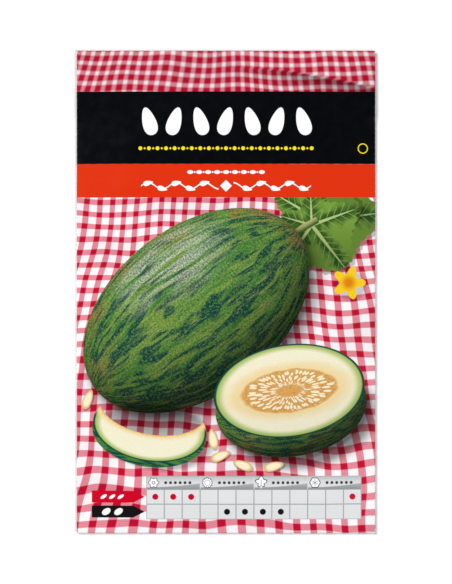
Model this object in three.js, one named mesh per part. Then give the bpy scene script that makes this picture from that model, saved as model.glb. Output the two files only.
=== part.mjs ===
// A paper seed packet lying on its back: one printed sheet, folded and gummed shut round loose melon seeds.
// The front panel is the largest area of the sheet. Its long edges fold back into two narrow side flaps.
// Its bottom edge folds up into the back panel, which is gummed over those flaps, and its top edge folds
// down into the closing flap, which is gummed over the top of the back panel.
// Units are millimetres. +X is to the right of the printed front, +Y towards its top edge, and +Z out of
// the front. The origin is in the middle of the packet's outline, on the surface that the packet lies on.
import * as THREE from "three";
import { mergeGeometries, mergeVertices } from "three/addons/utils/BufferGeometryUtils.js";

// Driving dimensions of the closed packet
const PACKET_WIDTH = 80.4;
const PACKET_HEIGHT = 130;
const PAPER = 0.2;
const GLUE_LINE = 0.05;
const SIDE_FLAP_WIDTH = 8;
const CLOSING_FLAP_DEPTH = 16;
const BACK_PANEL_END = 2.5;
const CORNER_NOTCH = 0.8;
const FLAP_TAPER = 0.06;
const SIDE_FOLD_RADIUS = 0.25;
const END_FOLD_REACH = 0.4;
const BACK_STEP_LENGTH = 2.5;
const PILLOW_RISE = 1.1;

// Driving dimensions of the seeds
const SEED_COUNT = 46;
const SEED_LENGTH = 11;
const SEED_WIDTH = 5;
const SEED_THICKNESS = 1.7;
const SEED_TAPER = 0.26;
const SEED_SPACING = 0.5;
const SEED_LEAST_SCALE = 0.9;
const SEED_SCALE_SPREAD = 0.18;
const SEED_FIELD_WIDTH = 50;
const SEED_FIELD_HEIGHT = 96;
const SEED_FIELD_START = 9;
const SEED_CROWDING = 1.35;
const SEED_DRAW = 20417;
const SEED_BUMP_MARGIN = 1.4;
const SEED_DISC_PLACES = [-0.3, -0.15, 0, 0.15, 0.3];

// How finely the solids are faceted
const FRONT_COLUMNS = 19;
const FRONT_ROWS = 31;
const FOLD_STEPS = 4;
const SEED_SIDES = 8;
const SEED_RINGS = 6;
const RELAXING_PASSES = 300;

// Worked out from the driving dimensions
const LAYER_PITCH = PAPER + GLUE_LINE;
const PANEL_HALF_WIDTH = PACKET_WIDTH / 2 - SIDE_FOLD_RADIUS - PAPER / 2;
const PANEL_HALF_HEIGHT = PACKET_HEIGHT / 2 - END_FOLD_REACH - PAPER / 2;
const BACK_STEP_END = PANEL_HALF_HEIGHT - CLOSING_FLAP_DEPTH - LAYER_PITCH;
const BACK_STEP_START = BACK_STEP_END - BACK_STEP_LENGTH;
const SEED_BED = PAPER + GLUE_LINE;

// The back panel lies flat, and steps up by one layer where the closing flap is gummed under it.
function backHeight(y) {
  return PAPER / 2 + LAYER_PITCH * THREE.MathUtils.smoothstep(y, BACK_STEP_START, BACK_STEP_END);
}

// The side flaps are gummed to the inner face of the back panel.
function sideFlapHeight(y) {
  return backHeight(y) + LAYER_PITCH;
}

// The front panel's edges stand one fold above the side flaps.
function frontEdgeHeight(y) {
  return sideFlapHeight(y) + 2 * SIDE_FOLD_RADIUS;
}

// Seeded random numbers from 0 to 1, so that the seeds fall the same way each time.
function randomSource(seed) {
  let state = seed;
  return () => {
    state = (state * 1664525 + 1013904223) % 4294967296;
    return state / 4294967296;
  };
}

// A seed's outline as a row of equal discs along its length, which is enough to keep two seeds apart.
function discsOf(seed) {
  return SEED_DISC_PLACES.map((share) => ({
    x: seed.x + Math.cos(seed.turn) * share * SEED_LENGTH * seed.scale,
    y: seed.y + Math.sin(seed.turn) * share * SEED_LENGTH * seed.scale,
    radius: (SEED_WIDTH / 2) * seed.scale,
  }));
}

function apart(one, other) {
  const others = discsOf(other);
  return discsOf(one).every((a) =>
    others.every((b) => Math.hypot(a.x - b.x, a.y - b.y) > a.radius + b.radius + SEED_SPACING),
  );
}

// The seeds lie flat in one layer, closest together at the bottom, where they slide when the packet hangs.
function scatterSeeds() {
  const random = randomSource(SEED_DRAW);
  const seeds = [];
  while (seeds.length < SEED_COUNT) {
    const seed = {
      x: (random() - 0.5) * SEED_FIELD_WIDTH,
      y: -PANEL_HALF_HEIGHT + SEED_FIELD_START + random() ** SEED_CROWDING * SEED_FIELD_HEIGHT,
      turn: random() * 2 * Math.PI,
      scale: SEED_LEAST_SCALE + random() * SEED_SCALE_SPREAD,
    };
    if (seeds.every((other) => apart(seed, other))) seeds.push(seed);
  }
  return seeds;
}

// A melon seed: a flat oval, round at one end and pointed at the other. The taper makes the round end wider
// than the middle, so the width is divided by how far that end would stand out.
function seedGeometry() {
  const widest = 1 + SEED_TAPER ** 2 / 2;
  const geometry = new THREE.SphereGeometry(1, SEED_SIDES, SEED_RINGS).rotateZ(Math.PI / 2);
  const position = geometry.getAttribute("position");
  for (let i = 0; i < position.count; i++) {
    const along = position.getX(i);
    position.setXYZ(
      i,
      (along * SEED_LENGTH) / 2,
      (position.getY(i) * (1 - SEED_TAPER * along) * SEED_WIDTH) / 2 / widest,
      (position.getZ(i) * SEED_THICKNESS) / 2,
    );
  }
  geometry.computeVertexNormals();
  return geometry;
}

// Evenly spaced lines across a panel, with the first and last gap as wide as the corner notch.
function gridLines(half, count) {
  const inner = half - CORNER_NOTCH;
  const lines = [-half];
  for (let i = 0; i <= count; i++) lines.push(-inner + (2 * inner * i) / count);
  lines.push(half);
  return lines;
}

const COLUMNS = gridLines(PANEL_HALF_WIDTH, FRONT_COLUMNS);
const ROWS = gridLines(PANEL_HALF_HEIGHT, FRONT_ROWS);

// The lowest height that the front panel's middle surface can have at a point, over any seed that lies there.
function heightOverSeeds(x, y, seeds) {
  let height = 0;
  for (const seed of seeds) {
    const dx = x - seed.x;
    const dy = y - seed.y;
    const along = dx * Math.cos(seed.turn) + dy * Math.sin(seed.turn);
    const across = dy * Math.cos(seed.turn) - dx * Math.sin(seed.turn);
    const halfLength = (SEED_LENGTH / 2) * seed.scale + SEED_BUMP_MARGIN;
    const halfWidth = (SEED_WIDTH / 2) * seed.scale + SEED_BUMP_MARGIN;
    if ((along / halfLength) ** 2 + (across / halfWidth) ** 2 < 1) {
      height = Math.max(height, SEED_BED + SEED_THICKNESS * seed.scale + LAYER_PITCH);
    }
  }
  return height;
}

// The front panel is a sheet stretched between its edges over the seeds, with a little air under it. It is
// relaxed on the panel's grid: each point moves to the mean of its four neighbours plus the lift of the air,
// and never below the seed under it.
function frontHeights(seeds) {
  const heights = ROWS.map((y) => COLUMNS.map(() => frontEdgeHeight(y)));
  const floor = ROWS.map((y) => COLUMNS.map((x) => heightOverSeeds(x, y, seeds)));
  const spacing = COLUMNS[2] - COLUMNS[1];
  const lift = (2 * PILLOW_RISE * spacing ** 2) / PANEL_HALF_WIDTH ** 2 / 4;
  for (let pass = 0; pass < RELAXING_PASSES; pass++) {
    for (let j = 1; j < ROWS.length - 1; j++) {
      for (let i = 1; i < COLUMNS.length - 1; i++) {
        const mean = (heights[j - 1][i] + heights[j + 1][i] + heights[j][i - 1] + heights[j][i + 1]) / 4;
        heights[j][i] = Math.max(floor[j][i], mean + lift);
      }
    }
  }
  return heights;
}

// A patch of the sheet's middle surface: place(u, v) for every pair of values, with its outer side where u
// turns anticlockwise to v, or on the other side where flipped is true.
function patch(us, vs, place, flipped = false) {
  const positions = [];
  for (let j = 0; j < vs.length; j++) {
    for (let i = 0; i < us.length; i++) positions.push(...place(us[i], vs[j], i, j));
  }
  const index = [];
  for (let j = 0; j + 1 < vs.length; j++) {
    for (let i = 0; i + 1 < us.length; i++) {
      const a = j * us.length + i;
      const [b, c, d] = [a + 1, a + 1 + us.length, a + us.length];
      index.push(...(flipped ? [a, c, b, a, d, c] : [a, b, c, a, c, d]));
    }
  }
  const geometry = new THREE.BufferGeometry();
  geometry.setAttribute("position", new THREE.Float32BufferAttribute(positions, 3));
  geometry.setIndex(index);
  return geometry;
}

// Angles of a half turn, from the front panel's edge at 0 round to the layer under it.
const HALF_TURN = Array.from({ length: FOLD_STEPS + 1 }, (_, step) => (step * Math.PI) / FOLD_STEPS);
const foldHeight = (angle, upper, lower) => (upper + lower) / 2 + (Math.cos(angle) * (upper - lower)) / 2;
const rowsBetweenNotches = ROWS.slice(1, -1);
const columnsBetweenNotches = COLUMNS.slice(1, -1);

// One long edge of the packet: the fold and the side flap that it turns under. side is 1 on the right.
function sideFlap(side) {
  const fold = patch(
    HALF_TURN,
    rowsBetweenNotches,
    (angle, y) => [
      side * (PANEL_HALF_WIDTH + SIDE_FOLD_RADIUS * Math.sin(angle)),
      y,
      foldHeight(angle, frontEdgeHeight(y), sideFlapHeight(y)),
    ],
    side < 0,
  );
  const flap = patch(
    [0, 1],
    rowsBetweenNotches,
    (inward, y) => {
      const tapered = y * (1 - FLAP_TAPER * inward);
      return [side * (PANEL_HALF_WIDTH - SIDE_FLAP_WIDTH * inward), tapered, sideFlapHeight(tapered)];
    },
    side < 0,
  );
  return [fold, flap];
}

// The bottom edge and the back panel that it turns up, which ends just short of the top fold.
function backPanel() {
  const fold = patch(
    columnsBetweenNotches,
    HALF_TURN,
    (x, angle) => [
      x,
      -PANEL_HALF_HEIGHT - END_FOLD_REACH * Math.sin(angle),
      foldHeight(angle, frontEdgeHeight(-PANEL_HALF_HEIGHT), backHeight(-PANEL_HALF_HEIGHT)),
    ],
    true,
  );
  const stepMiddle = (BACK_STEP_START + BACK_STEP_END) / 2;
  const backEnd = PANEL_HALF_HEIGHT - BACK_PANEL_END;
  const rows = [-PANEL_HALF_HEIGHT, 0, BACK_STEP_START, stepMiddle, BACK_STEP_END, backEnd];
  const panel = patch(columnsBetweenNotches, rows, (x, y) => [x, y, backHeight(y)], true);
  return [fold, panel];
}

// The top edge and the closing flap, which lies outermost and narrows towards its free edge.
function closingFlap() {
  const fold = patch(columnsBetweenNotches, HALF_TURN, (x, angle) => [
    x,
    PANEL_HALF_HEIGHT + END_FOLD_REACH * Math.sin(angle),
    foldHeight(angle, frontEdgeHeight(PANEL_HALF_HEIGHT), PAPER / 2),
  ]);
  const flap = patch(columnsBetweenNotches, [0, 1], (x, down) => [
    x * (1 - FLAP_TAPER * down),
    PANEL_HALF_HEIGHT - CLOSING_FLAP_DEPTH * down,
    PAPER / 2,
  ]);
  return [fold, flap];
}

// The edges of a mesh that only one triangle uses, each in that triangle's direction.
function openEdges(index) {
  const edges = new Map();
  for (let i = 0; i < index.length; i += 3) {
    for (let k = 0; k < 3; k++) {
      const from = index[i + k];
      const to = index[i + ((k + 1) % 3)];
      if (!edges.delete(`${to},${from}`)) edges.set(`${from},${to}`, [from, to]);
    }
  }
  return [...edges.values()];
}

// A closed solid of even thickness round a middle surface: both faces, and a wall along each open edge.
function thickened(surface, thickness) {
  const position = surface.getAttribute("position");
  const normal = surface.getAttribute("normal");
  const index = [...surface.index.array];
  const count = position.count;
  const positions = [];
  for (const offset of [thickness / 2, -thickness / 2]) {
    for (let i = 0; i < count; i++) {
      positions.push(position.getX(i) + normal.getX(i) * offset);
      positions.push(position.getY(i) + normal.getY(i) * offset);
      positions.push(position.getZ(i) + normal.getZ(i) * offset);
    }
  }
  const faces = [...index];
  for (let i = 0; i < index.length; i += 3) {
    faces.push(index[i] + count, index[i + 2] + count, index[i + 1] + count);
  }
  for (const [from, to] of openEdges(index)) {
    faces.push(to, from, from + count, to, from + count, to + count);
  }
  const solid = new THREE.BufferGeometry();
  solid.setAttribute("position", new THREE.Float32BufferAttribute(positions, 3));
  solid.setIndex(faces);
  solid.computeVertexNormals();
  return solid;
}

// The front panel. Past the notches, where no fold holds it, each corner reaches down and out to the outline
// of the two folds that meet there, so that the packet's corners are square.
function frontPanel(seeds) {
  const heights = frontHeights(seeds);
  return patch(COLUMNS, ROWS, (x, y, i, j) => {
    const corner = Math.abs(x) === PANEL_HALF_WIDTH && Math.abs(y) === PANEL_HALF_HEIGHT;
    if (!corner) return [x, y, heights[j][i]];
    return [
      x + Math.sign(x) * SIDE_FOLD_RADIUS,
      y + Math.sign(y) * END_FOLD_REACH,
      foldHeight(Math.PI / 2, frontEdgeHeight(y), sideFlapHeight(y)),
    ];
  });
}

function packetGeometry(seeds) {
  const panels = [frontPanel(seeds), ...sideFlap(1), ...sideFlap(-1), ...backPanel(), ...closingFlap()];
  const sheet = mergeVertices(mergeGeometries(panels), 1e-3);
  sheet.computeVertexNormals();
  return thickened(sheet, PAPER);
}

const printedPaper = new THREE.MeshStandardMaterial({ color: 0xe9e4dc, roughness: 0.42, metalness: 0 });
const seedSkin = new THREE.MeshStandardMaterial({ color: 0xe8d6a8, roughness: 0.5, metalness: 0 });

function buildPacket() {
  const seeds = scatterSeeds();
  const packet = new THREE.Group();

  const folded = new THREE.Mesh(packetGeometry(seeds), printedPaper);
  folded.name = "packet";
  packet.add(folded);

  const shape = seedGeometry();
  seeds.forEach((seed, i) => {
    const mesh = new THREE.Mesh(shape, seedSkin);
    mesh.name = `seed_${String(i + 1).padStart(2, "0")}`;
    mesh.position.set(seed.x, seed.y, SEED_BED + (SEED_THICKNESS * seed.scale) / 2);
    mesh.rotation.z = seed.turn;
    mesh.scale.setScalar(seed.scale);
    packet.add(mesh);
  });
  return packet;
}

export default buildPacket();
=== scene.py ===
# %% [markdown]
# # A seed packet, folded from one printed sheet
#
# This lesson dresses a paper seed packet in Blender. The real packet starts as one flat sheet, which is
# printed, folded and gummed shut round loose melon seeds. The lesson goes the same way: it makes the sheet
# from strips that are bent along the fold lines, keeps each point's place on the flat sheet, and prints
# there with shader nodes. Everything is worked out in millimetres on the sheet and becomes metres at the
# end.

# %% The frame, and the tools of the lesson
import math
from collections import namedtuple

import bpy
import numpy as np
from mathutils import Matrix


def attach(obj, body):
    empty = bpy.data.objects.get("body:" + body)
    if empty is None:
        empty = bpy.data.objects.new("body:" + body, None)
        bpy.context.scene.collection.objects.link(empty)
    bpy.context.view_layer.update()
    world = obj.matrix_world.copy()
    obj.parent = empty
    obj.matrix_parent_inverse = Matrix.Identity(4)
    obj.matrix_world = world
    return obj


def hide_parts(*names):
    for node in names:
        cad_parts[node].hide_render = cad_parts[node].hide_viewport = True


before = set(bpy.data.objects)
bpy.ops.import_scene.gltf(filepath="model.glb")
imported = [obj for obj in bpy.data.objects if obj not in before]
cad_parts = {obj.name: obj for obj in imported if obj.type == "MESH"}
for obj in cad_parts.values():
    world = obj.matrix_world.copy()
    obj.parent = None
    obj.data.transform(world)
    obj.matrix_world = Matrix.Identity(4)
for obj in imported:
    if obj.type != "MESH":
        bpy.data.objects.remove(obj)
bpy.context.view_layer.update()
MM = 0.001


def add_object(name, data):
    """Puts a new object into the scene."""
    made = bpy.data.objects.new(name, data)
    bpy.context.scene.collection.objects.link(made)
    return made


# %% [markdown]
# ## The camera
#
# The photograph shows the printed face square on, with the packet in the middle of the picture. So the
# camera hangs straight over the packet, which lies on its back. A near camera with a short lens would frame
# it too, but would look down the folded edges and swell the middle. A long lens from far off keeps the
# edges straight. Its height follows from how many of the picture's pixels the packet's long side covers.

# %% The camera over the packet
PICTURE_HEIGHT_PX = 584
FACE_TOP_PX, FACE_BOTTOM_PX = 51, 533
FACE_LEFT_PX, FACE_RIGHT_PX = 77, 375
PACKET_HEIGHT, PACKET_WIDTH = 130.0, 80.4
PX = PACKET_HEIGHT / (FACE_BOTTOM_PX - FACE_TOP_PX)
LENS_MM, SENSOR_MM = 110.0, 36.0
NEAREST_SEEN = 0.01


def make_camera():
    data = bpy.data.cameras.new("camera")
    data.lens = LENS_MM
    data.sensor_width = SENSOR_MM
    data.clip_start = NEAREST_SEEN
    camera = add_object("camera", data)
    seen_height = PICTURE_HEIGHT_PX * PX * MM
    camera.location = (0, 0, seen_height * LENS_MM / SENSOR_MM)
    bpy.context.scene.camera = camera
    print("camera height in m:", round(camera.location.z, 3))


make_camera()
seen_width = (FACE_RIGHT_PX - FACE_LEFT_PX) * PX
print("face width in mm: seen", round(seen_width, 1), "and made", PACKET_WIDTH)

# %% [markdown]
# ## The folded sheet's plan
#
# The sheet has five parts: the front panel, a narrow flap behind each long edge, the back panel that folds
# up from the bottom edge, and the closing flap that folds down from the top. A thin box with rounded edges
# would have the same outline, but no flaps, no layers and no folds, which are what shows from the side and
# from behind. So the plan gives each part its real width and each layer its height over the floor. The
# sizes are those of the solid model, and one layer lies a pitch above the next, which is the paper and its
# gum.

# %% Sizes of the folded sheet
PAPER = 0.2
LAYER_PITCH = 0.25
SIDE_FLAP_WIDTH = 8.0
CLOSING_FLAP_DEPTH = 16.0
BACK_PANEL_END = 2.5
CORNER_NOTCH = 0.8
FLAP_TAPER = 0.06
SIDE_FOLD_RADIUS = 0.25
END_FOLD_REACH = 0.4
BACK_STEP_LENGTH = 2.5
HALF_WIDTH = PACKET_WIDTH / 2 - SIDE_FOLD_RADIUS - PAPER / 2
HALF_HEIGHT = PACKET_HEIGHT / 2 - END_FOLD_REACH - PAPER / 2
BACK_STEP_END = HALF_HEIGHT - CLOSING_FLAP_DEPTH - LAYER_PITCH
print("front panel between its folds in mm:", round(2 * HALF_WIDTH, 1), "by", round(2 * HALF_HEIGHT, 1))

# %% Heights of the layers, and the grid of the panels
GRID_STEP = 1.0


def smooth(share):
    """A soft rise from 0 to 1 while the share goes from 0 to 1."""
    share = np.clip(share, 0, 1)
    return share * share * (3 - 2 * share)


def back_height(y):
    return PAPER / 2 + LAYER_PITCH * smooth((y - BACK_STEP_END) / BACK_STEP_LENGTH + 1)


def side_flap_height(y):
    return back_height(y) + LAYER_PITCH


def front_edge_height(y):
    return side_flap_height(y) + 2 * SIDE_FOLD_RADIUS


def grid_lines(half):
    """Even grid lines, with the outermost ones a notch further out, where the folds start."""
    inner = half - CORNER_NOTCH
    between = np.linspace(-inner, inner, round(2 * inner / GRID_STEP) + 1)
    return np.concatenate([[-half], between, [half]])


COLUMNS = grid_lines(HALF_WIDTH)
ROWS = grid_lines(HALF_HEIGHT)
print("front panel grid:", len(COLUMNS), "by", len(ROWS))

# %% [markdown]
# ## The seeds push the paper up
#
# Paper that lies over seeds drapes from seed to seed like a tent. Blender's cloth simulation could lay a
# sheet over them, but cloth stretches and creases where paper does not, and takes minutes. The panel is
# nearly level, so its shape is just a height at each point of a grid, and that relaxes in a moment: each
# point moves to the mean of its neighbours, with a little lift for the air inside, and never sinks below
# the seed under it. The seeds are solids of the model, and the two main directions of a seed's own points
# give its length and turn.

# %% Where the seeds lie
SEED_NAMES = sorted(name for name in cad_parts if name.startswith("seed_"))
BUMP_MARGIN = 0.8
SEED_SHOULDER = 0.7


def seed_ellipse(name):
    """A seed's middle, its two main directions, its reach along them and its top."""
    points = np.array([vertex.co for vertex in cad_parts[name].data.vertices]) / MM
    flat = points[:, :2]
    low, high = points.min(0), points.max(0)
    centre = (low[:2] + high[:2]) / 2
    axes = np.linalg.svd(flat - flat.mean(0), full_matrices=False)[2]
    halves = np.abs((flat - centre) @ axes.T).max(0) + BUMP_MARGIN
    return centre, axes, halves, high[2]


def seed_floor(x, y):
    """How high the paper lies on the seeds, and 0 where there is none."""
    floor = np.zeros_like(x)
    for name in SEED_NAMES:
        centre, axes, halves, top = seed_ellipse(name)
        reach = (np.stack([x, y], axis=-1) - centre) @ axes.T / halves
        rounded = np.sqrt(np.clip(1 - (reach**2).sum(-1), 0, 1))
        height = top + LAYER_PITCH - (1 - rounded) * SEED_SHOULDER
        floor = np.where(rounded > 0, np.maximum(floor, height), floor)
    return floor


print("seeds read from the model:", len(SEED_NAMES))

# %% The front panel's height at each grid point
PILLOW_RISE = 1.1
RELAXING_PASSES = 1500
COCKLE = 0.05
CALM_BORDER = 8.0


def relaxed_front():
    x, y = np.meshgrid(COLUMNS, ROWS)
    height = front_edge_height(y) + 0 * x
    floor = seed_floor(x, y)
    lift = 2 * PILLOW_RISE / HALF_WIDTH**2 / 4
    for _ in range(RELAXING_PASSES):
        mean = (height[:-2, 1:-1] + height[2:, 1:-1] + height[1:-1, :-2] + height[1:-1, 2:]) / 4
        height[1:-1, 1:-1] = np.maximum(mean + lift, floor[1:-1, 1:-1])
    calm = smooth((HALF_WIDTH - np.abs(x)) / CALM_BORDER) * smooth((HALF_HEIGHT - np.abs(y)) / CALM_BORDER)
    # Two slow waves bend each other, so that no ripple comes twice.
    waves = np.sin(x / 6.1 + 1.3 * np.sin(y / 11.0)) * np.sin(y / 8.7 + np.sin(x / 9.0))
    return height + COCKLE * calm * waves


front_height = relaxed_front()
print("front panel rises to", round(float(front_height.max()), 2), "mm")

# %% [markdown]
# ## Bending the sheet
#
# A folded sheet could be made flat and bent by Simple Deform modifiers, but each of those bends a whole
# object about one axis, and this sheet has four folds of two sizes. So each part is a patch: a grid of
# points that knows both its place in space and its place on the flat sheet. A fold is a half turn, and its
# length on the flat sheet is the length of that arc. The patches share their border points, so merging
# those gives one sheet with no seams. The flat places go into a UV map, in millimetres, and the shader
# nodes print there.

# %% A patch of the sheet
FOLD_STEPS = 8
HALF_TURN = np.linspace(0, math.pi, FOLD_STEPS + 1)
SIDE_FOLD_LENGTH = math.pi * SIDE_FOLD_RADIUS
END_FOLD_LENGTH = math.pi * END_FOLD_REACH
FRONT, BACK = 0, 2


def fold_height(angle, upper, lower):
    """A height on a half turn that goes from an upper layer down to a lower one."""
    return (upper + lower) / 2 + np.cos(angle) * (upper - lower) / 2


def patch(us, vs, place, flipped=False, material=FRONT):
    """A grid patch: place(u, v) gives x, y, z and then the point's place on the flat sheet."""
    u, v = np.meshgrid(us, vs)
    values = np.stack([np.broadcast_to(part, u.shape) for part in place(u, v)], axis=-1)
    corners = np.arange(u.size).reshape(u.shape)
    quads = np.stack([corners[:-1, :-1], corners[:-1, 1:], corners[1:, 1:], corners[1:, :-1]], axis=-1)
    quads = quads.reshape(-1, 4)
    return values.reshape(-1, 5), quads[:, ::-1] if flipped else quads, material


print("paper in a side fold and in an end fold, mm:", round(SIDE_FOLD_LENGTH, 2), round(END_FOLD_LENGTH, 2))

# %% The side folds and their flaps
FLAP_STEPS = 5


def side_patches(side):
    """The fold and the flap behind one long edge; side is 1 on the right and -1 on the left."""

    def fold(angle, y):
        x = side * (HALF_WIDTH + SIDE_FOLD_RADIUS * np.sin(angle))
        out_y = y + np.sign(y) * (np.abs(y) == HALF_HEIGHT) * END_FOLD_REACH * np.sin(angle)
        z = fold_height(angle, front_edge_height(y), side_flap_height(y))
        return x, out_y, z, side * (HALF_WIDTH + SIDE_FOLD_RADIUS * angle), out_y

    def flap(inward, y):
        tapered = y * (1 - FLAP_TAPER * inward)
        x = side * (HALF_WIDTH - SIDE_FLAP_WIDTH * inward)
        flat_x = side * (HALF_WIDTH + SIDE_FOLD_LENGTH + SIDE_FLAP_WIDTH * inward)
        return x, tapered, side_flap_height(tapered), flat_x, tapered

    return [
        patch(HALF_TURN, ROWS, fold, side < 0),
        patch(np.linspace(0, 1, FLAP_STEPS), ROWS[1:-1], flap, side < 0),
    ]


sides = [*side_patches(1), *side_patches(-1)]
print("side folds and flaps:", len(sides), "patches")

# %% The end folds, the back panel and the closing flap
BACK_ROWS, STEP_ROWS, CLOSING_ROWS = 12, 6, 9


def end_fold(end, layer_height, flipped):
    """The fold along the bottom (end -1) or the top (end 1), which meets the side folds in square corners."""

    def place(x, angle):
        corner = np.abs(x) == HALF_WIDTH
        out_x = x + np.sign(x) * corner * SIDE_FOLD_RADIUS * np.sin(angle)
        y = end * (HALF_HEIGHT + END_FOLD_REACH * np.sin(angle))
        lower = np.where(corner, side_flap_height(end * HALF_HEIGHT), layer_height)
        z = fold_height(angle, front_edge_height(end * HALF_HEIGHT), lower)
        return out_x, y, z, out_x, end * (HALF_HEIGHT + END_FOLD_REACH * angle)

    return patch(COLUMNS, HALF_TURN, place, flipped)


def back_patches():
    """The bottom fold and the back panel."""

    def panel(x, y):
        return x, y, back_height(y), x, -HALF_HEIGHT - END_FOLD_LENGTH - (y + HALF_HEIGHT)

    flat_rows = np.linspace(-HALF_HEIGHT, BACK_STEP_END - BACK_STEP_LENGTH, BACK_ROWS)
    step_rows = np.linspace(BACK_STEP_END - BACK_STEP_LENGTH, BACK_STEP_END, STEP_ROWS)[1:]
    rows = np.concatenate([flat_rows, step_rows, [HALF_HEIGHT - BACK_PANEL_END]])
    return [
        end_fold(-1, back_height(-HALF_HEIGHT), True),
        patch(COLUMNS[1:-1], rows, panel, True, BACK),
    ]


def closing_patches():
    """The top fold and the closing flap."""

    def flap(x, down):
        y = HALF_HEIGHT - CLOSING_FLAP_DEPTH * down
        flat_y = HALF_HEIGHT + END_FOLD_LENGTH + CLOSING_FLAP_DEPTH * down
        return x * (1 - FLAP_TAPER * down), y, PAPER / 2, x * (1 - FLAP_TAPER * down), flat_y

    return [end_fold(1, PAPER / 2, False), patch(COLUMNS[1:-1], np.linspace(0, 1, CLOSING_ROWS), flap)]


ends = [*back_patches(), *closing_patches()]
print("end folds, back panel and closing flap:", len(ends), "patches")

# %% One mesh from all the patches
FLAT_MAP = "flat sheet"
MERGING_DECIMALS = 4


def sheet_mesh(patches):
    """Joins the patches where their border points meet, and notes each point's place on the sheet."""
    points, quads, materials = [], [], []
    for values, faces, material in patches:
        quads.append(faces + sum(len(p) for p in points))
        points.append(values)
        materials.append(np.full(len(faces), material))
    points, quads = np.concatenate(points), np.concatenate(quads)
    keys = np.round(points[:, :3], MERGING_DECIMALS)
    kept, merged = np.unique(keys, axis=0, return_index=True, return_inverse=True)[1:]
    quads = merged.reshape(-1)[quads]
    points = points[kept]
    mesh = bpy.data.meshes.new("packet")
    mesh.from_pydata((points[:, :3] * MM).tolist(), [], quads.tolist())
    mesh.polygons.foreach_set("material_index", np.concatenate(materials).astype(np.int32))
    mesh.polygons.foreach_set("use_smooth", np.ones(len(quads), bool))
    flat = mesh.uv_layers.new(name=FLAT_MAP)
    loop_points = np.empty(len(mesh.loops), np.int32)
    mesh.loops.foreach_get("vertex_index", loop_points)
    flat.data.foreach_set("uv", points[loop_points, 3:].astype(np.float32).ravel())
    return mesh


front = patch(COLUMNS, ROWS, lambda x, y: (x, y, front_height, x, y))
packet = add_object("folded_packet", sheet_mesh([front, *sides, *ends]))
print("sheet:", len(packet.data.vertices), "points,", len(packet.data.polygons), "faces")

# %% [markdown]
# ## The paper's thickness
#
# Paper has an inside and cut edges as well as a printed face. A second sheet could be laid under the first
# and joined to it all round, but a Solidify modifier does that by itself: it grows the sheet by half the
# thickness each way, and gives the inside and the edges the next material, which is bare paper. Even
# thickness keeps the folds from pinching.

# %% The paper's thickness
thickness = packet.modifiers.new("paper", "SOLIDIFY")
thickness.thickness = PAPER * MM
thickness.offset = 0
thickness.material_offset = 1
thickness.material_offset_rim = 1
thickness.use_even_offset = True
print("paper in mm:", round(thickness.thickness / MM, 2))

# %% [markdown]
# ## A small algebra for shader nodes
#
# A print could be a picture file, but then it is only as sharp as its pixels. This one is made of bands,
# discs, ovals and checks, each of which is arithmetic on the place on the sheet, so it stays sharp in any
# close-up. Written as single Math nodes that is hard to read. So a Field wraps an output socket and lets
# Python's own plus, minus and times join up the nodes, and a few named helpers turn fields into masks and
# mix colours.

# %% Fields
def feed(slot, value):
    """Gives a node's socket a field, a colour or a number."""
    if isinstance(value, Field):
        slot.id_data.links.new(value.socket, slot)
    elif isinstance(value, tuple):
        slot.default_value = (*value, 1.0)[: len(slot.default_value)]
    else:
        slot.default_value = value


def add_node(tree, kind, values, output=0, **settings):
    """Adds a node to a tree, sets it, feeds its sockets, and gives one of its outputs as a field."""
    node = tree.nodes.new(kind)
    for name, value in settings.items():
        setattr(node, name, value)
    for socket, value in values.items():
        feed(node.inputs[socket], value)
    return Field(node.outputs[output])


class Field:
    """A value that changes over the surface: one output socket of a node tree."""

    def __init__(self, socket):
        self.socket = socket
        self.tree = socket.id_data

    def math(self, operation, *others):
        return add_node(self.tree, "ShaderNodeMath", dict(enumerate((self, *others))), operation=operation)

    def __add__(self, other):
        return self.math("ADD", other)

    def __sub__(self, other):
        return self.math("SUBTRACT", other)

    def __mul__(self, other):
        return self.math("MULTIPLY", other)

    def __truediv__(self, other):
        return self.math("DIVIDE", other)

    def __abs__(self):
        return self.math("ABSOLUTE")

    def __neg__(self):
        return self * -1.0

    __radd__ = __add__
    __rmul__ = __mul__

    def __rsub__(self, other):
        return -self + other


print("a Field joins up nodes for plus, minus, times, divided by, and any Math operation by name")

# %% Masks and mixes
def ramp(field, start, end):
    """0 where the field is at start, 1 where it is at end, and a soft curve between."""
    values = {"Value": field, "From Min": start, "From Max": end}
    return add_node(field.tree, "ShaderNodeMapRange", values, "Result", interpolation_type="SMOOTHSTEP")


def either(one, *others):
    """The largest of several masks or distances."""
    for other in others:
        one = one.math("MAXIMUM", other)
    return one


def root(field):
    return field.math("MAXIMUM", 0.0).math("SQRT")


def length(x, y):
    return root(x * x + y * y)


# A Mix node lists its sockets for numbers first, so those for colours are known by their place.
MIX_BELOW, MIX_ABOVE, MIX_RESULT = 6, 7, 2


def blend(mask, below, above):
    """The colour above where the mask is 1, and the colour below where it is 0."""
    values = {"Factor": mask, MIX_BELOW: below, MIX_ABOVE: above}
    return add_node(mask.tree, "ShaderNodeMix", values, MIX_RESULT, data_type="RGBA")


def layered(colour, *layers):
    """Lays colours over a first one in turn, each where its mask is 1."""
    for mask, above in layers:
        colour = blend(mask, colour, above)
    return colour


def scaled(colour, factor):
    """A colour made lighter or darker by a factor."""
    tree = (factor if isinstance(factor, Field) else colour).tree
    return add_node(tree, "ShaderNodeVectorMath", {0: colour, "Scale": factor}, operation="SCALE")


print("a soft step, the largest of several, a length, and three ways to mix colours are ready")

# %% Noise and cells
def on_sheet(x, y, **values):
    """A texture's place on the sheet, a scale of one unit, and its other values."""
    return {"Vector": add_node(x.tree, "ShaderNodeCombineXYZ", {0: x, 1: y}), "Scale": 1.0, **values}


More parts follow.
